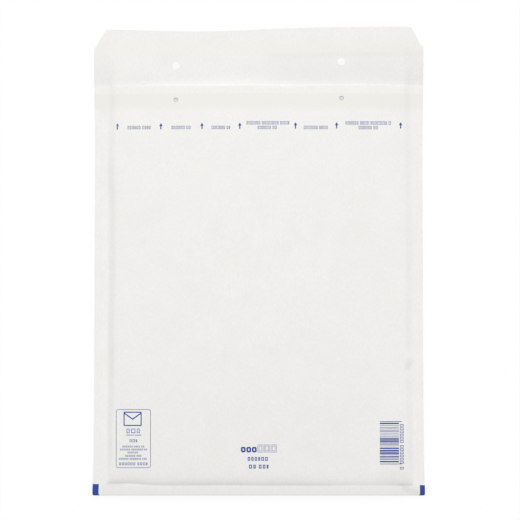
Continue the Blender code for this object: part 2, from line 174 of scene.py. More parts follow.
class StageLook(bpy.types.PropertyGroup):
    """The floor, the light and the camera."""

    distance: length("Camera distance", "From the envelope to the camera", 3.0)
    view_width: length("View width", "What the picture shows across, at the envelope", 0.45517)
    tilt: FloatProperty(
        name="Camera tilt",
        description="Of the camera from straight above",
        default=math.radians(5.16),
        subtype="ANGLE",
    )
    aim_x: length("Aim across", "Where the camera looks, from the middle", 0.00113)
    aim_y: length("Aim up", "Where the camera looks, from the middle", -0.00049)
    floor: colour("Floor", "The floor's colour", (0.96, 0.96, 0.96))
    fill: FloatProperty(name="Fill light", description="Strength of the light from all round", default=0.50)
    key: FloatProperty(name="Main lamp", description="Power of the large soft lamp", default=962.0)


def smooth(t):
    """Rises from 0 to 1 with level ends."""
    t = min(max(t, 0.0), 1.0)
    return t * t * (3.0 - 2.0 * t)


def rounded(t):
    """Rises from 0 to 1, steepest at first and level at the end."""
    t = min(max(t, 0.0), 1.0)
    return 1.0 - (1.0 - t) ** 2


def bell(t):
    """1 at t = 0, falling to about a third at t = 1 on either side."""
    return math.exp(-t * t)


def lesser(a, b, softness):
    """The lesser of two shares from 0 to 1, with the corner between them softened."""
    blend = min(max(0.5 + 0.5 * (b - a) / softness, 0.0), 1.0)
    low = b * (1.0 - blend) + a * blend - softness * blend * (1.0 - blend)
    return max(low, 0.0) / (1.0 - softness / 4.0)


def ripple(x, y, size, layer):
    """Smooth unevenness from about -1 to 1, with swells about size long. Each layer has its own pattern."""
    spread = 1.6
    return spread * noise.noise(Vector((x / size, y / size, layer)))


def spaced(start, end, longest):
    """Points from start up to but not including end, evenly spaced and at most longest apart."""
    count = max(1, math.ceil(abs(end - start) / longest - 1e-6))
    return [start + (end - start) * k / count for k in range(count)]


class EnvelopeShape:
    """The envelope's outline and surfaces over its plan.

    A value that ends in x or y is a place on the plan, and a reach is the length over which a change comes or
    goes. Shares, gains and powers are plain numbers, and most other values are lengths and heights. All were
    set to look like the real envelope.
    """

    # Outline
    flap_skew = 0.0020  # the left end of the flap's edge is this much lower than the right
    flap_dip = 0.0028  # the flap's edge dips by this much, left of its middle
    flap_dip_x = -0.050
    flap_dip_reach = 0.068
    flap_dip_growth = 0.017  # the skew and the dip grow over this length above the crease
    corner_width = 0.0105  # the flap's cut corners
    corner_height = 0.0177
    notch_width = 0.0025  # the notch at the foot of the right one
    notch_height = 0.0016
    round_width = 0.0035  # and the rounding at its top
    round_height = 0.0023
    foot_round = 0.0012  # the bottom corners' rounding
    pull_y = 0.005  # the padding starts to draw the side edges in here
    pull_reach = 0.022
    release = 0.065  # and lets them go from this far below the crease
    release_reach = 0.090
    mouth_inset = 0.0005  # the back panel ends this far below the crease

    # Middles of the holes
    body_hole_drop = 0.0126  # from the crease down to the body holes
    body_hole_skew = 0.00075  # the right one is this much higher than that, and the left one lower
    flap_hole_rise = 0.0213  # from the crease up to the flap holes

    # Crease
    crease_sink = 0.0005  # the crease's bend starts this far below its line
    left_bow = 0.0024  # the crease bows down by this much at its left end
    right_bow = 0.0016
    bow_reach = 0.014
    crease_waver = 0.00035
    short_fall_reach = 0.0018  # the paper falls a little just past the crease
    short_fall_gain = 0.4  # and by this share more in the right half
    short_fall_gain_reach = 0.040
    long_fall = 0.0011  # a softer fall goes on past it, left of the middle
    long_fall_x = -0.022
    long_fall_width = 0.075
    long_fall_reach = 0.0075
    hump = 0.0010  # the paper humps up past the crease, near its left end
    hump_x = -0.113
    hump_width = 0.018
    hump_reach = 0.025

    # Flap
    flattening = 0.034  # the flap lies flat across this far above the crease
    flap_droop = 0.0022  # the flap's left end hangs this much lower
    flap_droop_power = 3
    slack = 0.0020  # its left half lies this much lower
    slack_x = 0.035
    slack_reach = 0.080
    end_fall = 0.0026  # and its right end this much
    end_fall_reach = 0.030
    wave_reach = 0.015
    liner_step = 0.00015  # the liner's lower edge shows through the flap's right part as a step
    liner_step_rise = 0.0267
    liner_step_reach = 0.0009
    liner_step_x = -0.010
    liner_step_width = 0.050

    # Seals and the bottom fold
    seal_film = 0.0002  # half the thickness of the two films where they are welded
    film_apart = 0.000125  # the least distance from the middle of the pouch to the middle of a film
    bond_reach = 0.003
    fold_radius = 0.00035  # of the paper's middle round the bottom fold
    front_pinch = 0.1  # the front panel's share of the pinch, the rest being the back panel's
    fold_pinch_reach = 0.0055
    edge_pinch_width = 0.0080
    edge_pinch_reach = 0.0060
    edge_pinch_end = 0.010
    strip_sag = 0.10  # the bottom strip falls by this much of its width
    strip_sag_inset = 0.0010
    corner_sag = 0.0010  # the two bottom corners hang this much lower
    corner_sag_x = 0.100
    corner_sag_reach = 0.030
    corner_sag_y = 0.085
    corner_fold_x = 0.1282  # the bottom right corner is folded down along a line through this place
    corner_fold_y = 0.0086
    corner_fold_slant = 0.4
    corner_fold_fall = 0.15
    corner_fold_depth = 0.006
    corner_fold_start_x = 0.1225
    corner_fold_start_reach = 0.004
    corner_fold_end = 0.002
    corner_fold_end_reach = 0.006

    # Slopes and crown of the padding
    left_waver = 0.0009  # the left seal's width wavers by this much
    right_waver = 0.0008
    bulge = 0.0016  # at a soft kink in the right slope, the padding comes this much further out
    bulge_y = 0.1195
    bulge_reach = 0.0055
    dent = 0.0008  # and just below it this much less far
    dent_y = 0.1095
    dent_reach = 0.0045
    widening = 0.0015  # the bottom strip is this much wider at its left end
    widening_x = -0.092
    widening_reach = 0.022
    strip_waver = 0.0003
    slope_waver = 0.22  # how much the length of the bottom slope wavers
    left_slope_gain = 0.2  # and grows at its two ends
    left_slope_x = -0.065
    left_slope_reach = 0.030
    right_slope_gain = 1.3
    right_end_x = 0.098
    right_end_reach = 0.018
    right_side_x = 0.015
    right_side_reach = 0.080
    steep_share = 0.30  # the steep slope's share of the padding's rise from the bottom strip
    steep_gain_side = 0.10
    steep_gain_end = 0.30
    mitre = 0.16  # softness of the diagonal ridges at the pouch's corners
    ridge = 0.00040  # those ridges stand this much higher in the paper
    ridge_inset = 0.0085
    ridge_inset_reach = 0.005
    ridge_width = 0.034
    ridge_width_reach = 0.014
    ridge_start_reach = 0.0014
    ridge_end_reach = 0.009
    left_rise_at_foot = 1.25  # the rise beside the left seal, against its usual one
    left_rise_loss = 0.50  # falls by this much up to the crease
    mouth_loss = 0.3  # and by this share near the mouth
    mouth_loss_y = 0.305
    mouth_loss_reach = 0.050
    foot_lift = 0.0012  # the padding stands this much higher at its right end, low down
    foot_lift_y = 0.120
    foot_lift_reach = 0.100
    crown_y = 0.190  # the pouch is thickest here
    crown_reach = 0.205  # and thins towards its mouth as if to end this far above
    crown_inset = 0.012
    crown_power = 2.4

    def __init__(self, context):
        scene = context.scene
        self.sizes = scene.envelope_sizes
        self.paper = scene.envelope_paper
        self.film = scene.envelope_film
        self.half = self.sizes.width / 2
        self.half_paper = self.sizes.paper_thickness / 2
        self.tip = self.sizes.total_length
        self.crease = self.sizes.total_length - self.sizes.flap_length
        self.strip = self.sizes.bottom_strip
        self.band_top = self.crease - self.sizes.band_inset
        self.band_bottom = self.band_top - self.sizes.band_width
        self.seal_gap = self.seal_film + self.sizes.seat_gap + self.half_paper
        self.front_seal = self.sizes.seal_height + self.seal_gap
        self.back_seal = self.sizes.seal_height - self.seal_gap
        self.closing = self.seal_gap - self.fold_radius  # half of how much the panels are pinched together
        self.fold_height = self.sizes.seal_height + (1.0 - 2 * self.front_pinch) * self.closing
        self.crest = self.sizes.thickness - self.half_paper - self.paper.swell

    def crease_line(self, x):
        """The crease bows down where it runs out into the side seals, and wavers a little."""
        left = self.left_bow * math.exp(-(x + self.half) / self.bow_reach)
        right = self.right_bow * math.exp(-(self.half - x) / self.bow_reach)
        waver = self.crease_waver * ripple(x, 0.0, size=0.045, layer=11.5)
        return self.crease - self.crease_sink - left - right + waver

    def edge_dip(self, x):
        """How far the flap's edge lies below its highest point."""
        lean = self.flap_skew * (self.half - x) / (2 * self.half)
        return lean + self.flap_dip * bell((x - self.flap_dip_x) / self.flap_dip_reach)

    def pulled_in(self, y):
        """How far the padding has drawn a side edge in."""
        along_pouch = 1.0 - math.exp(-max(y - self.pull_y, 0.0) / self.pull_reach)
        past_mouth = smooth((y - self.crease + self.release) / self.release_reach)
        return self.sizes.pull_in * along_pouch * (1.0 - past_mouth)

    def foot_cut(self, y):
        """How much the rounding of a bottom corner takes off the width."""
        rest = min(max(self.foot_round - y, 0.0), self.foot_round)
        return self.foot_round - math.sqrt(self.foot_round**2 - rest**2)

    def left_cut(self, y):
        """How much the corners at the left take off the width, the flap's cut and the bottom one rounded."""
        slant = self.corner_width * max(0.0, 1.0 - (self.tip - y) / self.corner_height)
        return slant + self.foot_cut(y)

    def right_cut(self, y):
        """The same on the right, where the flap's corner has a notch at its foot and a rounded top."""
        below = self.tip - self.corner_height + self.notch_height - y
        notch = self.notch_width * min(1.0, max(0.0, 1.0 - below / self.notch_height))
        slant_height = self.corner_height - self.notch_height
        slant = (self.corner_width - self.notch_width) * max(0.0, 1.0 - (self.tip - y) / slant_height)
        top = self.round_width * max(0.0, 1.0 - (self.tip - y) / self.round_height) ** 2
        return notch + slant + top + self.foot_cut(y)

    def across(self, station, y):
        """The place across of a station, which is its distance from the middle line before any cut."""
        left = -self.half + self.pulled_in(y) + self.left_cut(y)
        right = self.half - self.pulled_in(y) - self.right_cut(y)
        return left + (right - left) * (station + self.half) / (2 * self.half)

    def up(self, x, y):
        """The place up the plan of a point that would lie at y on a flap with a level edge."""
        return y - self.edge_dip(x) * smooth((y - self.crease) / self.flap_dip_growth)

    def right_side(self, x):
        """0 over the left half of the front panel, rising to 1 towards its right side."""
        return smooth((x - self.right_side_x) / self.right_side_reach)

    def right_end(self, x):
        """0 over most of the front panel, rising to 1 beside its right seal."""
        return smooth((x - self.right_end_x) / self.right_end_reach)

    def side_rise(self, x, y):
        """How far the padding has risen beside a side seal: 0 on the seal and 1 past the slope."""
        if x < 0:
            seal = self.sizes.left_seal + self.left_waver * ripple(3.0, y, size=0.050, layer=1.5)
            return smooth((self.half - seal + x) / self.sizes.side_slope)
        kink = self.bulge * bell((y - self.bulge_y) / self.bulge_reach)
        kink -= self.dent * bell((y - self.dent_y) / self.dent_reach)
        seal = self.sizes.right_seal + self.right_waver * ripple(9.0, y, size=0.060, layer=2.5) - kink
        return smooth((self.half - seal - x) / self.sizes.side_slope)

    def bottom_rise(self, x, y):
        """How far the padding has risen above the bottom strip: steeply at first, then slowly."""
        line = self.strip + self.widening * smooth((self.widening_x - x) / self.widening_reach)
        line += self.strip_waver * ripple(x, 0.0, size=0.040, layer=5.5)
        above = max(y - line, 0.0)
        left_end = smooth((self.left_slope_x - x) / self.left_slope_reach)
        right_end = self.right_end(x)
        gain = 1.0 + self.slope_waver * ripple(x, 0.0, size=0.060, layer=3.5)
        gain += self.left_slope_gain * left_end + self.right_slope_gain * right_end
        steep = 1.0 - math.exp(-above / (self.sizes.bottom_slope * gain))
        share = self.steep_share + self.steep_gain_side * self.right_side(x) + self.steep_gain_end * right_end
        return share * steep + (1.0 - share) * rounded(above / self.sizes.bottom_ease)

    def rise(self, x, y):
        """How far the padding has risen from the seals and the strip: 0 on them and 1 past its slopes."""
        return lesser(self.side_rise(x, y), self.bottom_rise(x, y), self.mitre)

    def crown(self, x, y):
        """The slow swell of the pouch between its slopes: 1 at its thickest and 0 at its seals."""
        reach = self.crown_y - self.strip if y < self.crown_y else self.crown_reach
        along = max(0.0, 1.0 - (abs(y - self.crown_y) / reach) ** self.crown_power)
        across = max(0.0, 1.0 - (abs(x) / (self.half - self.crown_inset)) ** self.crown_power)
        return along * across

    def pinch(self, x, y):
        """How much nearer the panels come to each other beside the bottom fold and the welded side edges."""
        beside_fold = smooth((self.fold_pinch_reach - y) / self.fold_pinch_reach)
        beside_edge = smooth((abs(x) - self.half + self.edge_pinch_width) / self.edge_pinch_reach)
        beside_edge *= smooth((self.crease - y) / self.edge_pinch_end)
        return 2 * self.closing * max(beside_fold, beside_edge)

    def corner_fold(self, x, y):
        """How far the bottom right corner is folded down, below a slanting line."""
        below = self.corner_fold_y - self.corner_fold_slant * (x - self.corner_fold_x) - y
        within = smooth((x - self.corner_fold_start_x) / self.corner_fold_start_reach)
        within *= smooth((self.half + self.corner_fold_end - x) / self.corner_fold_end_reach)
        return self.corner_fold_fall * max(0.0, min(below, self.corner_fold_depth)) * within

    def foot_sag(self, x, y):
        """The fall of the bottom strip and of the bottom corners, which counts downwards as less than 0."""
        strip = -self.strip_sag * max(0.0, self.strip - self.strip_sag_inset - y)
        corners = -self.corner_sag * smooth((abs(x) - self.corner_sag_x) / self.corner_sag_reach)
        corners *= smooth((self.corner_sag_y - y) / self.corner_sag_y)
        return strip + corners - self.corner_fold(x, y)

    def unevenness(self, x, y):
        """Soft swells over the padding, and longer waves in the free flap."""
        broad = ripple(x, y, size=0.055, layer=21.5)
        small = ripple(x, y, size=0.022, layer=22.5)
        over_pad = self.paper.swell * (0.7 * broad + 0.3 * small)
        in_flap = self.paper.flap_wave * ripple(x, 0.4 * y, size=0.070, layer=23.5)
        return over_pad + (in_flap - over_pad) * smooth((y - self.crease) / self.wave_reach)

    def edge_rise(self, x, y):
        """How much higher than its seals the pouch stands where its slopes end."""
        left = self.sizes.left_rise * (self.left_rise_at_foot - self.left_rise_loss * y / self.crease)
        left *= 1.0 - self.mouth_loss * smooth((y - self.mouth_loss_y) / self.mouth_loss_reach)
        edge = left + (self.sizes.right_rise - left) * self.right_side(x)
        low = smooth((self.foot_lift_y - y) / self.foot_lift_reach)
        return edge + self.foot_lift * self.right_end(x) * low

    def crease_fall(self, x, above):
        """How far the flap's paper has fallen past its crease, most of all left of the middle."""
        if above <= 0.0:
            return 0.0
        short = self.paper.lip * (1.0 - math.exp(-above / self.short_fall_reach))
        short *= 1.0 + self.short_fall_gain * smooth(x / self.short_fall_gain_reach)
        long = self.long_fall * bell((x - self.long_fall_x) / self.long_fall_width)
        return short + long * (1.0 - math.exp(-above / self.long_fall_reach))

    def flap_top(self, x):
        """The height that the flap reaches at its edge."""
        leftness = 0.5 - 0.5 * x / self.half
        droop = self.flap_droop * leftness * (abs(x) / self.half) ** self.flap_droop_power
        slack = self.slack * smooth((self.slack_x - x) / self.slack_reach)
        end_fall = self.end_fall * smooth((x - self.half + self.end_fall_reach) / self.end_fall_reach)
        return self.sizes.flap_height - droop - slack - end_fall

    def front(self, x, y):
        """The middle of the front panel's and the flap's paper, without the finest creases."""
        above = y - self.crease_line(x)
        pouch_y = min(y, y - above)
        rise = self.rise(x, pouch_y)
        edge = self.edge_rise(x, pouch_y)
        edge += (self.crest - self.front_seal - edge) * self.crown(x, pouch_y)
        height = self.front_seal + rise * edge
        height += self.hump * bell((x - self.hump_x) / self.hump_width) * rounded(above / self.hump_reach)
        flap_rise = rounded(above / self.sizes.flap_length)
        height += (self.flap_top(x) - height) * flap_rise - self.crease_fall(x, above)
        loose = max(rise, smooth(above / self.flattening))
        height += loose * self.unevenness(x, y)
        return height + self.foot_sag(x, y) - self.front_pinch * self.pinch(x, y)

    def back(self, x, y):
        """The middle of the back panel's paper, whose crest lies on the table."""
        rise = self.rise(x, y)
        lift = rise * self.paper.swell * (0.5 + 0.5 * ripple(x, y, size=0.050, layer=31.5))
        height = self.back_seal + (self.half_paper - self.back_seal) * rise + max(lift, 0.0)
        return height + self.foot_sag(x, y) + (1.0 - self.front_pinch) * self.pinch(x, y)

    def front_paper(self, x, y):
        """The front panel with what only the paper has: the liner's step and the ridges at the corners."""
        liner = self.liner_step * smooth((y - self.crease - self.liner_step_rise) / self.liner_step_reach)
        liner *= smooth((x - self.liner_step_x) / self.liner_step_width)
        beyond = max(y - self.strip, 0.0)
        within = smooth((self.half - self.ridge_inset - abs(x)) / self.ridge_inset_reach)
        within *= smooth((abs(x) - self.half + self.ridge_width) / self.ridge_width_reach)
        ridge = self.ridge * within * (1.0 - math.exp(-beyond / self.ridge_start_reach))
        return self.front(x, y) + liner + ridge * math.exp(-beyond / self.ridge_end_reach)

    def half_room(self, x, y):
        """From the middle of the pouch to the face of the film where it lies on the paper."""
        return (self.front(x, y) - self.back(x, y)) / 2 - self.half_paper - self.sizes.seat_gap

    def film_layer(self, x, y):
        """How far each film's flat layer lies from the middle of the pouch."""
        half_film = self.sizes.film_thickness / 2
        bonded = smooth((y - self.band_bottom + self.bond_reach) / self.bond_reach)
        pad = self.film.pad * (1.0 - bonded)
        return max(self.half_room(x, y) - half_film - pad, self.film_apart)

    def film_height(self, side, x, y):
        """The height of a film's flat layer, side being 1 at the front panel and -1 at the back."""
        middle = (self.front(x, y) + self.back(x, y)) / 2
        return middle + side * self.film_layer(x, y)


def stretches(start, *parts):
    """Points from start on, through parts that each have an end and a longest spacing."""
    points = []
    for end, longest in parts:
        points += spaced(start, end, longest)
        start = end
    return points + [start]


def on_stage(x, y, z):
    """A point of the plan, placed on the stage."""
    return Vector((x, y + FOLD_AT, z))


def sheet_mesh(name, columns, rows, place):
    """A mesh sheet whose corners are place(column, row)."""
    corners = [place(column, row) for row in rows for column in columns]
    wide = len(columns)
    faces = []
    for r in range(len(rows) - 1):
        for c in range(wide - 1):
            first = r * wide + c
            faces.append((first, first + 1, first + 1 + wide, first + wide))
    mesh = bpy.data.meshes.new(name)
    mesh.from_pydata(corners, [], faces)
    return mesh


def piece(name, mesh, finish, nodes=()):
    """A piece of the envelope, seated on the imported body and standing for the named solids."""
    made = bpy.data.objects.new(name, mesh)
    bpy.context.scene.collection.objects.link(made)
    made.data.materials.clear()
    made.data.materials.append(finish)
    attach(made, BODY)
    if nodes:
        missing = [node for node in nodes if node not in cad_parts]
        if missing:
            raise RuntimeError(f"{name} stands for solids that the frame lacks: {missing}")
        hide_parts(*nodes)
    return made


def thicken(made, thickness, offset=0.0):
    """Gives a sheet its thickness: half to each side, or all of it below with offset -1."""
    modifier = made.modifiers.new("thickness", "SOLIDIFY")
    modifier.thickness = thickness
    modifier.offset = offset


def bake(made, sharp_above):
    """Applies the modifiers and shades the piece smooth, with its sharp edges kept."""
    graph = bpy.context.evaluated_depsgraph_get()
    mesh = bpy.data.meshes.new_from_object(made.evaluated_get(graph))
    made.modifiers.clear()
    made.data = mesh
    mesh.shade_smooth()
    mesh.set_sharp_from_angle(angle=math.radians(sharp_above))
    if len(mesh.polygons) == 0:
        raise RuntimeError(f"{made.name} came out empty")


def hole_places(shape):
    """Each hole's middle and radius: two through the flap, and two through the body below them."""
    places = []
    for side in (-1, 1):
        x = side * shape.paper.hole_spacing / 2
        body_y = shape.crease - shape.body_hole_drop + side * shape.body_hole_skew
        flap_y = shape.up(x, shape.crease + shape.flap_hole_rise)
        places.append((x, body_y, shape.paper.body_hole))
        places.append((x, flap_y, shape.paper.flap_hole))
    return places


def cut_holes(made, places):
    """Cuts round holes straight down through a piece, with one long cutter for each."""
    cutter_length = 0.04
    cutter_middle = 0.01
    bm = bmesh.new()
    for x, y, radius in places:
        ring = bmesh.ops.create_cone(
            bm, cap_ends=True, segments=40, radius1=radius, radius2=radius, depth=cutter_length
        )
        bmesh.ops.translate(bm, verts=ring["verts"], vec=on_stage(x, y, cutter_middle))
    mesh = bpy.data.meshes.new("hole_cutters")
    bm.to_mesh(mesh)
    bm.free()
    cutters = bpy.data.objects.new("hole_cutters", mesh)
    bpy.context.scene.collection.objects.link(cutters)
    cut = made.modifiers.new("holes", "BOOLEAN")
    cut.operation = "DIFFERENCE"
    cut.solver = "EXACT"
    cut.object = cutters
    bake(made, SHEET_ANGLE)
    bpy.data.objects.remove(cutters)


def sheet_columns(shape, coarse, fine):
    """Stations across a sheet, closest together over the side slopes."""
    inner = shape.half - SLOPES_END
    return stretches(-shape.half, (-inner, fine), (inner, coarse), (shape.half, fine))


def fold_angles(count):
    """Angles round the bottom fold, from the back panel below to the front panel above."""
    return [math.pi * (k / count - 0.5) for k in range(count + 1)]


def fold_point(shape, station, angle, radius):
    """A point of the bottom fold, at that angle and radius about its axis."""
    y = shape.fold_radius - radius * math.cos(angle)
    x = shape.across(station, y)
    return on_stage(x, y, shape.fold_height + radius * math.sin(angle) + shape.foot_sag(x, y))


def paper_point(shape, station, row, lift=0.0):
    """A point of the paper, whose row is a panel's name and an angle or a height up the plan."""
    panel, v = row
    if panel == "fold":
        return fold_point(shape, station, v, shape.fold_radius + lift)
    x = shape.across(station, v)
    if panel == "back":
        return on_stage(x, v, shape.back(x, v) - lift)
    near_crease = smooth(1.0 - abs(v - shape.crease) / CREASE_ROWS)
    y = v + (shape.crease_line(x) - shape.crease) * near_crease
    return on_stage(x, shape.up(x, y), shape.front_paper(x, y) + lift)


def paper_rows(shape):
    """Rows along the whole sheet, closest together in the creases and grooves."""
    fold = shape.fold_radius
    crease = shape.crease
    corner = shape.tip - shape.corner_height
    mouth = crease - shape.mouth_inset
    back = stretches(mouth, (SLOPES_END, 0.0060), (fold, 0.0016))[:-1]
    front = stretches(
        fold,
        (0.0088, 0.0012),  # the bottom strip
        (0.0124, 0.0004),  # the groove above it
        (SLOPES_END, 0.0011),
        (0.105, 0.0033),
        (0.125, 0.0012),  # the kink in the right slope
        (crease - 0.008, 0.0033),
        (crease + 0.002, 0.0005),  # the crease's bend
        (corner, 0.0020),
        (shape.tip, 0.0008),  # the cut corners
    )[1:]
    rows = [("back", y) for y in back] + [("fold", a) for a in fold_angles(FOLD_STEPS)]
    return rows + [("front", y) for y in front]


class Finish:
    """Adds and links the nodes of one material."""

    def __init__(self, name, roughness):
        self.material = bpy.data.materials.new(name)
        self.material.use_nodes = True
        self.tree = self.material.node_tree
        self.shader = self.tree.nodes["Principled BSDF"]
        self.shader.inputs["Roughness"].default_value = roughness
        self.place = self.add("ShaderNodeTexCoord").outputs["Object"]

    def add(self, kind, **settings):
        """A new node of that kind."""
        node = self.tree.nodes.new(kind)
        for name, value in settings.items():
            setattr(node, name, value)
        return node

    def feed(self, socket, value):
        """Links a value to a socket if it is another node's output, and sets it otherwise."""
        if isinstance(value, bpy.types.NodeSocket):
            self.tree.links.new(value, socket)
        elif isinstance(value, float):
            socket.default_value = value
        else:
            socket.default_value = (*value, 1.0)

    def noise(self, scale, detail=2.0, stretch=None):
        """Noise from 0 to 1, with its features drawn out by stretch."""
        source = self.place
        if stretch:
            mapping = self.add("ShaderNodeMapping")
            mapping.inputs["Scale"].default_value = stretch
            self.feed(mapping.inputs["Vector"], self.place)
            source = mapping.outputs["Vector"]
        node = self.add("ShaderNodeTexNoise")
        self.feed(node.inputs["Vector"], source)
        self.feed(node.inputs["Scale"], scale)
        self.feed(node.inputs["Detail"], detail)
        return node.outputs["Fac"]

    def math(self, operation, a, b):
        """The result of one step of arithmetic."""
        node = self.add("ShaderNodeMath", operation=operation)
        self.feed(node.inputs[0], a)
        self.feed(node.inputs[1], b)
        return node.outputs[0]

    def ramp(self, value, low, high, to_low=0.0, to_high=1.0):
        """value taken smoothly from low..high to to_low..to_high."""
        node = self.add("ShaderNodeMapRange", interpolation_type="SMOOTHSTEP")
        for name, number in (("Value", value), ("From Min", low), ("From Max", high)):
            self.feed(node.inputs[name], number)
        self.feed(node.inputs["To Min"], to_low)
        self.feed(node.inputs["To Max"], to_high)
        return node.outputs[0]

    def band(self, value, low, high, softness):
        """1 where value lies from low to high and 0 elsewhere, fading over softness each way."""
        above_low = self.ramp(value, low - softness, low + softness)
        below_high = self.ramp(value, high - softness, high + softness, 1.0, 0.0)
        return self.math("MULTIPLY", above_low, below_high)

    def mix(self, share, a, b):
        """Colour a, going over to colour b as share rises from 0 to 1."""
        node = self.add("ShaderNodeMix", data_type="RGBA")
        sockets = {socket.identifier: socket for socket in node.inputs}
        self.feed(sockets["Factor_Float"], share)
        self.feed(sockets["A_Color"], a)
        self.feed(sockets["B_Color"], b)
        return next(socket for socket in node.outputs if socket.identifier == "Result_Color")

    def colour(self, value):
        """Gives the surface its colour."""
        self.feed(self.shader.inputs["Base Color"], value)

    def bump(self, height, distance, strength=1.0):
        """Makes the surface look uneven by height, over distance from its lowest to its highest."""
        node = self.add("ShaderNodeBump")
        node.inputs["Distance"].default_value = distance
        node.inputs["Strength"].default_value = strength
        self.feed(node.inputs["Height"], height)
        self.tree.links.new(node.outputs["Normal"], self.shader.inputs["Normal"])


def darker(tone, share):
    """That colour with each part of it times share."""
    return tuple(share * part for part in tone)


def paper_finish(shape, look):
    """White kraft paper: fine fibres, faint clouds, a tint where film lies behind it, and on the flap the
    adhesive's tint with a painted shadow of the adhesive.
    """
    fibre_share = 0.72  # of the paper's fine pattern, the rest being clouds
    waver_height = 0.0016  # how far the tints' edges waver
    edge = 0.0006  # how far the edges of the film's bonded band fade each way
    groove_start = 0.0016  # the band is faint up to here, above its foot
    groove_end = 0.0026
    faint = 0.45
    glue_drop = 0.002  # the painted shadow of the glue, with its tint, lies this much lower than the adhesive
    glue_and_shadow_edge = 0.003
    glue_and_shadow_share = 0.4
    made = Finish("white_kraft_paper", look.roughness)
    fibres = made.noise(scale=900.0, detail=4.0, stretch=(1.0, 0.45, 1.0))
    clouds = made.noise(scale=55.0, detail=3.0)
    fibre_part = made.math("MULTIPLY", fibres, fibre_share)
    cloud_part = made.math("MULTIPLY", clouds, 1.0 - fibre_share)
    pattern = made.ramp(made.math("ADD", fibre_part, cloud_part), 0.32, 0.72)
    base = made.mix(pattern, tuple(look.shade), tuple(look.white))

    axes = made.add("ShaderNodeSeparateXYZ")
    made.feed(axes.inputs[0], made.place)
    waver = made.math("MULTIPLY", made.math("SUBTRACT", made.noise(scale=60.0), 0.5), waver_height)
    up = made.math("ADD", axes.outputs["Y"], waver)
    facing = made.add("ShaderNodeSeparateXYZ")
    made.feed(facing.inputs[0], made.add("ShaderNodeNewGeometry").outputs["Normal"])
    on_front = made.ramp(facing.outputs["Z"], 0.0, 0.2)

    low = shape.band_bottom + FOLD_AT
    high = shape.band_top + FOLD_AT
    thin = made.ramp(up, low - edge, low + edge, 0.0, faint)
    full = made.ramp(up, low + groove_start, low + groove_end)
    below_top = made.ramp(up, high - edge, high + edge, 1.0, 0.0)
    band = made.math("MULTIPLY", made.math("MAXIMUM", thin, full), below_top)
    tinted = made.mix(made.math("MULTIPLY", band, on_front), base, tuple(look.band))

    # On the flap, a little below the adhesive: the adhesive's tint and a painted shadow of it, mixed into the
    # paper's colour
    closure = bpy.context.scene.envelope_closure
    low = shape.crease + closure.adhesive_rise + FOLD_AT - glue_drop
    glue_and_shadow = made.band(up, low, low + closure.adhesive_width, glue_and_shadow_edge)
    made.colour(made.mix(made.math("MULTIPLY", glue_and_shadow, glue_and_shadow_share), tinted, tuple(look.glue_and_shadow)))
    grain = made.math("MULTIPLY", made.noise(scale=220.0, detail=3.0), 1.5)
    made.bump(made.math("ADD", fibres, grain), distance=0.00003, strength=0.6)
    return made.material


def film_finish(look):
    """Clear polyethylene film, a little cloudy, with fine wrinkles."""
    made = Finish("clear_bubble_film", roughness=0.22)
    cloud = made.noise(scale=70.0, detail=3.0)
    made.colour(made.mix(cloud, darker(look.clear, 0.9), tuple(look.clear)))
    made.shader.inputs["Alpha"].default_value = look.alpha
    wrinkles = made.noise(scale=260.0, detail=3.0, stretch=(1.0, 0.3, 1.0))
    made.bump(wrinkles, distance=0.0002, strength=0.5)
    return made.material


def strip_finish(name, main, roughness, grain):
    """A coated strip with faint streaks along it."""
    made = Finish(name, roughness)
    streaks = made.noise(grain, detail=3.0, stretch=(0.12, 1.0, 1.0))
    made.colour(made.mix(streaks, darker(main, 0.88), tuple(main)))
    made.bump(streaks, distance=0.00004, strength=0.6)
    return made.material


def ink_finish(look):
    """Blue printing ink that lies a little thinner here and there."""
    made = Finish("blue_printing_ink", roughness=0.55)
    thin = made.ramp(made.noise(scale=1400.0, detail=3.0), 0.45, 0.80)
    made.colour(made.mix(thin, tuple(look.ink), tuple(look.faded)))
    made.bump(made.noise(scale=900.0), distance=0.00001, strength=0.5)
    return made.material


def bar(middle, foot, wide, high):
    """An upright rectangle with slightly cut corners, as points of the plan."""
    cut_share = 0.22
    cut = min(wide, high) * cut_share
    left, right, top = middle - wide / 2, middle + wide / 2, foot + high
    lower = [(left, foot + cut), (left + cut, foot), (right - cut, foot), (right, foot + cut)]
    return lower + [(right, top - cut), (right - cut, top), (left + cut, top), (left, top - cut)]


def hollow(left, foot, wide, high, line):
    """A plain upright frame of that line width."""
    right, top = left + wide, foot + high
    outer = [(left, foot), (right, foot), (right, top), (left, top)]
    in_left, in_foot, in_right, in_top = left + line, foot + line, right - line, top - line
    inner = [(in_left, in_foot), (in_right, in_foot), (in_right, in_top), (in_left, in_top)]
    return [[outer[k], outer[(k + 1) % 4], inner[(k + 1) % 4], inner[k]] for k in range(4)]


def greeked(chance, middle, foot, wide, high, line, letter, word=6):
    """A line of words as a row of hollow boxes about a letter wide, with a wider gap after each word."""
    letter_gap = 0.50 * letter
    word_gap = 1.2 * letter
    least_rest = 0.45 * letter
    least_box = 2.2 * line
    shapes = []
    x = middle - wide / 2
    end = middle + wide / 2
    left_in_word = word
    while x < end - least_rest:
        step = min(letter * chance.uniform(0.75, 1.25), end - x)
        shapes += hollow(x, foot, max(step, least_box), high, line)
        left_in_word -= 1
        x += step + (letter_gap if left_in_word else word_gap)
        if not left_in_word:
            left_in_word = word + chance.choice((-2, -1, 0, 1))
    return shapes


def rounded_box(left, foot, wide, high, radius, steps=5):
    """The outline of a rectangle with round corners."""
    points = []
    right, top = wide - radius, high - radius
    corners = ((right, radius), (right, top), (radius, top), (radius, radius))
    for k, (x, y) in enumerate(corners):
        for s in range(steps + 1):
            a = math.pi / 2 * (k - 1 + s / steps)
            points.append((left + x + radius * math.cos(a), foot + y + radius * math.sin(a)))
    return points


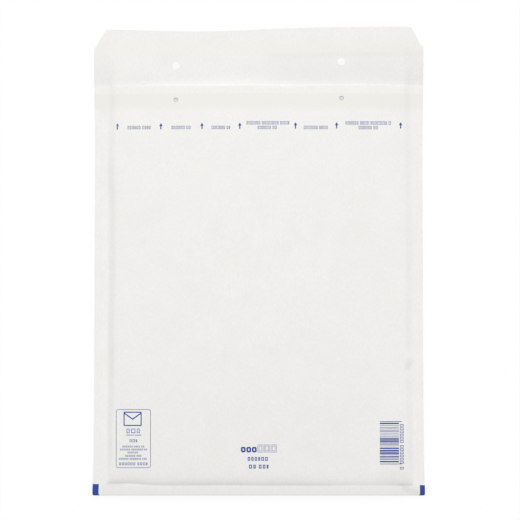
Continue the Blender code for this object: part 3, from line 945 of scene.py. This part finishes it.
def frame_line(left, foot, wide, high, radius, line):
    """A rounded frame of that line width, as quadrilaterals."""
    outer = rounded_box(left, foot, wide, high, radius)
    smallest = 0.0001
    inner_radius = max(radius - line, smallest)
    inner = rounded_box(left + line, foot + line, wide - 2 * line, high - 2 * line, inner_radius)
    count = len(outer)
    return [[outer[k], outer[(k + 1) % count], inner[(k + 1) % count], inner[k]] for k in range(count)]


def ink_coat(name, mesh, look):
    """A piece of ink whose upper face is that mesh, half as thick as its face lies above the paper."""
    finish = bpy.data.materials.get("blue_printing_ink") or ink_finish(look)
    made = piece(name, mesh, finish)
    thicken(made, look.lift * 0.5, -1.0)
    bake(made, INK_ANGLE)
    return made


def print_on_paper(context, name, shapes):
    """Lays flat shapes of the plan on the front panel as a thin coat of ink."""
    paper = bpy.data.objects.get("envelope_paper")
    if paper is None:
        raise RuntimeError("make the paper before its print")
    longest = 0.0025  # of a face, so that the ink follows the paper
    above_paper = 0.05
    look = context.scene.envelope_print
    tree = BVHTree.FromObject(paper, context.evaluated_depsgraph_get())
    bm = bmesh.new()
    for points in shapes:
        bm.faces.new([bm.verts.new((x, y, 0.0)) for x, y in points])
    for axis, direction in enumerate((Vector((1.0, 0.0, 0.0)), Vector((0.0, 1.0, 0.0)))):
        places = [vertex.co[axis] for vertex in bm.verts]
        for at in spaced(min(places), max(places), longest)[1:]:
            everything = list(bm.verts) + list(bm.edges) + list(bm.faces)
            bmesh.ops.bisect_plane(
                bm, geom=everything, plane_co=direction * at, plane_no=direction, dist=1e-7
            )
    for vertex in bm.verts:
        start = on_stage(vertex.co.x, vertex.co.y, above_paper)
        place, normal, _, _ = tree.ray_cast(start, Vector((0.0, 0.0, -1.0)))
        if place is None:
            raise RuntimeError(f"{name} reaches past the paper at {tuple(vertex.co)}")
        vertex.co = place + normal * look.lift
    bm.normal_update()
    mesh = bpy.data.meshes.new(name)
    bm.to_mesh(mesh)
    bm.free()
    ink_coat(name, mesh, look)


class ENVELOPE_OT_paper(bpy.types.Operator):
    """Makes the folded sheet of white kraft paper with its flap and its four holes"""

    bl_idname = "envelope.paper"
    bl_label = "Kraft paper"
    bl_options = {"REGISTER", "UNDO"}

    def execute(self, context):
        shape = EnvelopeShape(context)
        columns = sheet_columns(shape, coarse=0.0033, fine=0.0012)
        mesh = sheet_mesh("envelope_paper", columns, paper_rows(shape), lambda c, r: paper_point(shape, c, r))
        finish = paper_finish(shape, context.scene.envelope_paper)
        paper = piece("envelope_paper", mesh, finish, ["paper_envelope"])
        thicken(paper, shape.sizes.paper_thickness)
        cut_holes(paper, hole_places(shape))
        return {"FINISHED"}


class ENVELOPE_OT_film(bpy.types.Operator):
    """Makes the bubble film that lines both panels"""

    bl_idname = "envelope.film"
    bl_label = "Bubble film"
    bl_options = {"REGISTER", "UNDO"}

    fold_y = 0.0009  # the axis of the film's own bottom fold
    band_room = 0.004  # the points lie closer together from this far below the bonded band
    fold_steps = 6
    least_bubble = 0.0012  # where there is less room than this, the bubbles are flattened away
    least_rim = 0.0003
    seal_room = 0.016  # no bubble's middle lies nearer to a side edge
    rings = ((1.0, 0.0), (0.93, 0.55), (0.62, 0.93), (0.0, 1.0))  # shares of a bubble's radius and height

    def execute(self, context):
        shape = EnvelopeShape(context)
        radius = shape.film_apart
        start = self.fold_y
        columns = sheet_columns(shape, coarse=0.0045, fine=0.0022)
        band_start = shape.band_bottom - self.band_room
        up = stretches(start, (SLOPES_END, 0.0018), (band_start, 0.0050), (shape.band_top, 0.0012))
        rows = [("back", y) for y in up[::-1]] + [("fold", a) for a in fold_angles(self.fold_steps)[1:-1]]
        rows += [("front", y) for y in up]

        def place(column, row):
            panel, v = row
            if panel == "fold":
                x = shape.across(column, start)
                middle = (shape.front(x, start) + shape.back(x, start)) / 2
                return on_stage(x, start - radius * math.cos(v), middle + radius * math.sin(v))
            x = shape.across(column, v)
            return on_stage(x, v, shape.film_height(1 if panel == "front" else -1, x, v))

        mesh = sheet_mesh("bubble_film", columns, rows, place)
        finish = film_finish(context.scene.envelope_film)
        film = piece("bubble_film", mesh, finish, ["bubble_film_lining"])
        thicken(film, shape.sizes.film_thickness)
        bake(film, SHEET_ANGLE)
        self.add_bubbles(shape, film)
        return {"FINISHED"}

    def add_bubbles(self, shape, film):
        """Domes in staggered rows on the outer face of each panel's film."""
        look = shape.film
        bm = bmesh.new()
        bm.from_mesh(film.data)
        row_pitch = look.pitch * math.sqrt(3) / 2
        y = shape.strip + look.radius
        row = 0
        while y < shape.band_bottom - look.radius:
            x = -shape.half + look.pitch * (0.5 if row % 2 else 1.0)
            while x < shape.half:
                for side in (1, -1):
                    self.add_dome(bm, shape, side, x, y)
                x += look.pitch
            y += row_pitch
            row += 1
        bm.to_mesh(film.data)
        bm.free()
        film.data.shade_smooth()

    def add_dome(self, bm, shape, side, x, y, segments=10):
        """One bubble with a flattened top, as rings of points from its foot to its middle."""
        thickness = shape.sizes.film_thickness
        room = shape.half_room(x, y) - shape.film_layer(x, y) - thickness
        if room < self.least_bubble or abs(x) > shape.half - self.seal_room:
            return
        rings = []
        for share, rise in self.rings:
            points = []
            for k in range(segments if share else 1):
                a = 2 * math.pi * k / segments
                px = x + share * shape.film.radius * math.cos(a)
                py = y + share * shape.film.radius * math.sin(a)
                here = shape.half_room(px, py) - shape.film_layer(px, py) - thickness
                height = min(room, max(here, self.least_rim)) * rise
                z = shape.film_height(side, px, py) + side * (thickness / 2 + height)
                points.append(bm.verts.new(on_stage(px, py, z)))
            rings.append(points)
        for lower, upper in zip(rings, rings[1:]):
            for k in range(segments):
                corners = [lower[k], lower[(k + 1) % segments]]
                corners += [upper[0]] if len(upper) == 1 else [upper[(k + 1) % segments], upper[k]]
                bm.faces.new(corners if side > 0 else corners[::-1])


class ENVELOPE_OT_closure(bpy.types.Operator):
    """Makes the adhesive strip and its release liner, on the flap's inner face"""

    bl_idname = "envelope.closure"
    bl_label = "Closure strip"
    bl_options = {"REGISTER", "UNDO"}

    edge_waver = 0.00012  # how unevenly the strips' two edges run

    def execute(self, context):
        shape = EnvelopeShape(context)
        look = context.scene.envelope_closure
        gap = shape.half_paper + shape.sizes.seat_gap
        finish = strip_finish("hot_melt_adhesive", look.adhesive, roughness=0.30, grain=500.0)
        made = self.strip(shape, "adhesive_strip", look.adhesive_rise, look.adhesive_width, gap, finish)
        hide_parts("closure_adhesive")
        gap += look.strip_thickness + shape.sizes.seat_gap
        finish = strip_finish("siliconed_liner", look.liner, roughness=0.42, grain=800.0)
        made = self.strip(shape, "release_strip", look.liner_rise, look.liner_width, gap, finish)
        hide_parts("release_liner")
        return {"FINISHED"}

    def strip(self, shape, name, rise, wide, gap, finish):
        """A strip under the flap, that far below the middle of the flap's paper."""
        thickness = bpy.context.scene.envelope_closure.strip_thickness
        low = shape.crease + rise
        columns = sheet_columns(shape, coarse=0.0040, fine=0.0026)
        rows = stretches(low, (low + wide, 0.0017))

        def place(column, y):
            x = shape.across(column, y)
            side = (y - low - wide / 2) / (wide / 2)
            y += self.edge_waver * side * ripple(column, side, size=0.012, layer=51.5)
            return on_stage(x, shape.up(x, y), shape.front(x, y) - gap - thickness / 2)

        made = piece(name, sheet_mesh(name, columns, rows, place), finish)
        thicken(made, thickness)
        bake(made, SHEET_ANGLE)
        return made


class ENVELOPE_OT_opening_line(bpy.types.Operator):
    """Prints the small arrows and the lines of words across the top, the words as small hollow boxes"""

    bl_idname = "envelope.opening_line"
    bl_label = "Arrows and words"
    bl_options = {"REGISTER", "UNDO"}

    arrows = (-0.1242, -0.0859, -0.0498, -0.0166, 0.0323, 0.0684, 0.1247)
    arrow_drop = 0.0396  # from the crease down to the row's left end
    arrow_slope = 0.0048  # from there the row rises by this much of its length
    row_start_x = -0.124
    shaft_width = 0.0010
    shaft_height = 0.0031
    head_half = 0.0015
    head_foot = 0.0029
    head_top = 0.0056
    # Each word by its middle and its width, and each line of them by how far below the crease it stands
    lower = (
        (-0.1051, 0.0202),
        (-0.0678, 0.0174),
        (-0.0333, 0.0160),
        (0.0080, 0.0176),
        (0.0502, 0.0210),
        (0.0965, 0.0173),
    )
    upper = ((0.0080, 0.0372), (0.0965, 0.0403))
    lower_drop = 0.0392
    upper_drop = 0.0351
    word_height = 0.0028
    word_line = 0.00033
    letter_width = 0.0014

    def execute(self, context):
        shape = EnvelopeShape(context)
        chance = random.Random(context.scene.envelope_print.seed)
        shapes = []
        for x in self.arrows:
            foot = shape.crease - self.arrow_drop + self.arrow_slope * (x - self.row_start_x)
            shapes.append(bar(x, foot, self.shaft_width, self.shaft_height))
            head = foot + self.head_foot
            shapes.append([(x - self.head_half, head), (x + self.head_half, head), (x, foot + self.head_top)])
        kind = (self.word_height, self.word_line, self.letter_width)
        for words, drop in ((self.lower, self.lower_drop), (self.upper, self.upper_drop)):
            for middle, wide in words:
                shapes += greeked(chance, middle, shape.crease - drop, wide, *kind)
        print_on_paper(context, "printed_opening_line", shapes)
        return {"FINISHED"}


class ENVELOPE_OT_label(bpy.types.Operator):
    """Prints the framed label at the lower left, with a plain letter and small hollow boxes for its words"""

    bl_idname = "envelope.label"
    bl_label = "Framed label"
    bl_options = {"REGISTER", "UNDO"}

    middle = -0.1092
    foot = 0.0237
    wide = 0.0303
    high = 0.0510
    frame_radius = 0.0020
    frame_width = 0.00038
    picture_aside = -0.0086  # from the label's middle to the picture's left edge
    picture_foot = 0.0602
    picture_width = 0.0158
    picture_height = 0.0124
    picture_line = 0.0009
    picture_radius = 0.0008
    flap_point = 0.0062  # the picture's flap reaches this far down from its top edge
    flap_line = 1.3  # and its two lines are this much thicker, measured upright
    # Words below the picture: aside, foot, width, height, line width and letter width
    large_words = (
        (0.0005, 0.0540, 0.0128, 0.0038, 0.0005, 0.0029),
        (0.0003, 0.0517, 0.0133, 0.0010, 0.0002, 0.0008),
        (0.0, 0.0462, 0.0064, 0.0023, 0.0004, 0.0017),
    )
    # Small lines of words by their height above the label's foot and their width
    small_lines = ((0.0179, 0.0190), (0.0153, 0.0232), (0.0127, 0.0100), (0.0098, 0.0140), (0.0072, 0.0246))
    small_kind = (0.0014, 0.00027, 0.0010)  # height, line width and letter width
    last_line = (0.0024, 0.0246)
    last_kind = (0.0023, 0.00040, 0.0017)

    def execute(self, context):
        chance = random.Random(context.scene.envelope_print.seed + 1)
        middle, foot = self.middle, self.foot
        left = middle - self.wide / 2
        shapes = frame_line(left, foot, self.wide, self.high, self.frame_radius, self.frame_width)
        shapes += self.picture(middle + self.picture_aside)
        for aside, word_foot, *kind in self.large_words:
            shapes += greeked(chance, middle + aside, word_foot, *kind)
        for rise, wide in self.small_lines:
            shapes += greeked(chance, middle, foot + rise, wide, *self.small_kind)
        rise, wide = self.last_line
        shapes += greeked(chance, middle, foot + rise, wide, *self.last_kind)
        print_on_paper(context, "printed_label", shapes)
        return {"FINISHED"}

    def picture(self, left):
        """A plain letter with its flap's two edges drawn to its middle."""
        line = self.picture_line
        wide, high = self.picture_width, self.picture_height
        shapes = frame_line(left, self.picture_foot, wide, high, self.picture_radius, line)
        middle = left + wide / 2
        top = self.picture_foot + high - line
        point = top - self.flap_point
        thick = self.flap_line * line
        for side in (-1, 1):
            corner = middle + side * (wide / 2 - line)
            shapes.append([(corner, top), (corner, top - thick), (middle, point), (middle, point + thick)])
        return shapes


class ENVELOPE_OT_stripes(bpy.types.Operator):
    """Prints the block of stripes at the lower right, with a column of small marks beside it"""

    bl_idname = "envelope.stripes"
    bl_label = "Stripes"
    bl_options = {"REGISTER", "UNDO"}

    left = 0.1056
    foot = 0.0269
    wide = 0.0166
    high = 0.0376
    step = 0.0004  # stripes and the gaps between them are one, two or three of these thick
    end_stripe = 0.0005  # the first and the last stripe are this thick
    end_overhang = 0.0024  # and longer by this much
    first_room = 0.0002  # a stripe within these distances of the block's ends is the first or the last
    last_room = 0.0012
    least_room = 0.0001
    mark_count = 13
    mark_drop = 0.0044
    mark_aside = 0.0009
    mark_width = 0.0032
    mark_height = 0.0020
    mark_line = 0.00045
    mark_pitch = 0.0028
    wider_pitches = {0: 0.0050, 6: 0.0042}  # after these marks

    def execute(self, context):
        chance = random.Random(context.scene.envelope_print.seed + 2)
        left, foot = self.left, self.foot
        top = foot + self.high
        shapes = []
        y = foot
        while y < top - self.least_room:
            at_end = y < foot + self.first_room or y > top - self.last_room
            thick = self.end_stripe if at_end else self.step * chance.choice((1, 1, 2, 3, 3))
            right = left + self.wide + (self.end_overhang if at_end else 0.0)
            shapes.append([(left, y), (right, y), (right, y + thick), (left, y + thick)])
            y += thick + self.step * chance.choice((1, 2, 3, 3))
        y = foot - self.mark_drop
        beside = left + self.wide + self.mark_aside
        for count in range(self.mark_count):
            shapes += hollow(beside, y, self.mark_width, self.mark_height, self.mark_line)
            y += self.wider_pitches.get(count, self.mark_pitch)
        print_on_paper(context, "printed_stripes", shapes)
        return {"FINISHED"}


class ENVELOPE_OT_title(bpy.types.Operator):
    """Prints the short title at the middle of the bottom, as rows of small rounded and hollow boxes"""

    bl_idname = "envelope.title"
    bl_label = "Title"
    bl_options = {"REGISTER", "UNDO"}

    round_boxes = (-0.0155, -0.0107, -0.0059)  # their left edges
    round_foot = 0.0372
    round_size = (0.0041, 0.0048)
    round_radius = 0.0015
    round_line = 0.0014
    double_boxes = (-0.0010, 0.0048, 0.0106)  # boxes with a smaller one inside, by their left edges
    double_foot = 0.0373
    double_size = (0.0050, 0.0066)
    double_inset = 0.0011
    double_line = 0.00028
    # Two rows of small boxes: foot, width, height, line width, letter width and letters in a word
    words = (
        (0.0300, 0.0190, 0.0031, 0.00065, 0.0020, 9),
        (0.0232, 0.0168, 0.0033, 0.00070, 0.0024, 2),
    )

    def execute(self, context):
        chance = random.Random(context.scene.envelope_print.seed + 3)
        shapes = []
        for x in self.round_boxes:
            shapes += frame_line(x, self.round_foot, *self.round_size, self.round_radius, self.round_line)
        wide, high = self.double_size
        inset = self.double_inset
        for x in self.double_boxes:
            shapes += hollow(x, self.double_foot, wide, high, self.double_line)
            inner_foot = self.double_foot + inset
            shapes += hollow(x + inset, inner_foot, wide - 2 * inset, high - 2 * inset, self.double_line)
        for kind in self.words:
            shapes += greeked(chance, 0.0, *kind)
        print_on_paper(context, "printed_title", shapes)
        return {"FINISHED"}


class ENVELOPE_OT_corner_marks(bpy.types.Operator):
    """Prints the two blue marks that wrap round the bottom fold at the corners"""

    bl_idname = "envelope.corner_marks"
    bl_label = "Corner marks"
    bl_options = {"REGISTER", "UNDO"}

    edge_room = 0.00005  # the marks stop this short of the paper's side edges
    pitch = 0.0010
    back_rows = (0.0040, 0.0020)

    def execute(self, context):
        shape = EnvelopeShape(context)
        look = context.scene.envelope_print
        lift = shape.half_paper + look.lift
        low = [("back", y) for y in self.back_rows] + [("fold", a) for a in fold_angles(FOLD_STEPS)]
        left = ("corner_mark_left", -1, look.left_mark_width, look.left_mark_height)
        right = ("corner_mark_right", 1, look.right_mark_width, look.right_mark_height)
        for name, side, wide, high in (left, right):
            rows = low + [("front", y) for y in stretches(shape.fold_radius, (high, self.pitch))[1:]]
            start, end = sorted((side * (shape.half - self.edge_room), side * (shape.half - wide)))
            columns = stretches(start, (end, self.pitch))
            mesh = sheet_mesh(name, columns, rows, lambda c, r: paper_point(shape, c, r, lift))
            ink_coat(name, mesh, look)
        return {"FINISHED"}


class ENVELOPE_OT_stage(bpy.types.Operator):
    """Makes the white floor, the soft light and the camera almost straight above"""

    bl_idname = "envelope.stage"
    bl_label = "Stage"
    bl_options = {"REGISTER", "UNDO"}

    floor_half = 3.0
    floor_drop = 0.0002  # the floor lies this much below the table's plane
    floor_glow = 0.94  # share of the floor, as the camera sees it, that is plain white light
    white = (1.0, 1.0, 1.0, 1.0)
    lamp_size = 5.9
    lamp_place = (0.0, 7.85, 8.0)
    sensor_width = 36.0  # in millimetres
    aim_height = 0.009
    clip_start = 0.05
    clip_end = 20.0

    def execute(self, context):
        look = context.scene.envelope_stage
        self.floor(look)
        self.light(context, look)
        self.camera(context, look)
        context.scene.view_settings.view_transform = "Standard"
        return {"FINISHED"}

    def floor(self, look):
        """A wide floor that is white to the camera and pale grey to the light."""
        across = (-self.floor_half, 0.0, self.floor_half)
        mesh = sheet_mesh("floor", across, across, lambda x, y: (x, y, -self.floor_drop))
        floor = bpy.data.objects.new("floor", mesh)
        bpy.context.scene.collection.objects.link(floor)
        made = Finish("white_floor", roughness=0.9)
        grain = made.noise(scale=60.0)
        made.colour(made.mix(grain, darker(look.floor, 0.985), tuple(look.floor)))
        glow = made.add("ShaderNodeEmission")
        glow.inputs["Strength"].default_value = 1.0
        both = made.add("ShaderNodeMixShader")
        seen = made.add("ShaderNodeLightPath").outputs["Is Camera Ray"]
        made.feed(both.inputs[0], made.math("MULTIPLY", seen, self.floor_glow))
        made.tree.links.new(made.shader.outputs[0], both.inputs[1])
        made.tree.links.new(glow.outputs[0], both.inputs[2])
        made.tree.links.new(both.outputs[0], made.tree.nodes["Material Output"].inputs["Surface"])
        floor.data.materials.append(made.material)

    def light(self, context, look):
        """Soft light from all round, with a white sky for the camera, and one large lamp beyond the flap."""
        world = bpy.data.worlds.new("soft_light")
        world.use_nodes = True
        tree = world.node_tree
        around = tree.nodes["Background"]
        around.inputs["Color"].default_value = self.white
        around.inputs["Strength"].default_value = look.fill
        sky = tree.nodes.new("ShaderNodeBackground")
        sky.inputs["Color"].default_value = self.white
        sky.inputs["Strength"].default_value = 1.0
        path = tree.nodes.new("ShaderNodeLightPath")
        both = tree.nodes.new("ShaderNodeMixShader")
        tree.links.new(path.outputs["Is Camera Ray"], both.inputs[0])
        tree.links.new(around.outputs[0], both.inputs[1])
        tree.links.new(sky.outputs[0], both.inputs[2])
        tree.links.new(both.outputs[0], tree.nodes["World Output"].inputs["Surface"])
        context.scene.world = world
        lamp = bpy.data.lights.new("main_lamp", "AREA")
        lamp.shape = "DISK"
        lamp.size = self.lamp_size
        lamp.energy = look.key
        made = bpy.data.objects.new("main_lamp", lamp)
        made.location = self.lamp_place
        made.rotation_euler = (-Vector(made.location)).to_track_quat("-Z", "Y").to_euler()
        context.scene.collection.objects.link(made)

    def camera(self, context, look):
        """A camera with a long lens, so that the envelope looks as flat as from far away."""
        camera = bpy.data.cameras.new("camera")
        camera.sensor_width = self.sensor_width
        camera.lens = camera.sensor_width * look.distance / look.view_width
        camera.clip_start = self.clip_start
        camera.clip_end = self.clip_end
        made = bpy.data.objects.new("camera", camera)
        back = Vector((0.0, -math.sin(look.tilt), math.cos(look.tilt)))
        aim = Vector((look.aim_x, look.aim_y, self.aim_height))
        made.location = aim + back * look.distance
        made.rotation_euler = (look.tilt, 0.0, 0.0)
        context.scene.collection.objects.link(made)
        context.scene.camera = made


GROUPS = (
    ("envelope_sizes", EnvelopeSizes),
    ("envelope_paper", PaperLook),
    ("envelope_film", FilmLook),
    ("envelope_closure", ClosureLook),
    ("envelope_print", PrintLook),
    ("envelope_stage", StageLook),
)
OPERATORS = (
    ENVELOPE_OT_paper,
    ENVELOPE_OT_film,
    ENVELOPE_OT_closure,
    ENVELOPE_OT_opening_line,
    ENVELOPE_OT_label,
    ENVELOPE_OT_stripes,
    ENVELOPE_OT_title,
    ENVELOPE_OT_corner_marks,
    ENVELOPE_OT_stage,
)


class ENVELOPE_PT_sidebar(bpy.types.Panel):
    """Lists the envelope's sizes and colours, and a button for each piece"""

    bl_idname = "ENVELOPE_PT_sidebar"
    bl_label = "Padded Envelope"
    bl_space_type = "VIEW_3D"
    bl_region_type = "UI"
    bl_category = "Envelope"

    def draw(self, context):
        for name, group in GROUPS:
            box = self.layout.box()
            for key in group.__annotations__:
                box.prop(getattr(context.scene, name), key)
        for operator in OPERATORS:
            self.layout.operator(operator.bl_idname)


def register():
    """Adds the groups of values to the scene, and the operators and the panel to Blender."""
    for name, group in GROUPS:
        bpy.utils.register_class(group)
        setattr(bpy.types.Scene, name, PointerProperty(type=group))
    for made in (*OPERATORS, ENVELOPE_PT_sidebar):
        bpy.utils.register_class(made)


def unregister():
    """Takes them all away again."""
    for made in (ENVELOPE_PT_sidebar, *reversed(OPERATORS)):
        bpy.utils.unregister_class(made)
    for name, group in reversed(GROUPS):
        delattr(bpy.types.Scene, name)
        bpy.utils.unregister_class(group)


def main():
    """Registers the add-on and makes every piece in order."""
    register()
    for operator in OPERATORS:
        group, name = operator.bl_idname.split(".")
        getattr(getattr(bpy.ops, group), name)()
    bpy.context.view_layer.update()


if __name__ == "__main__":
    main()
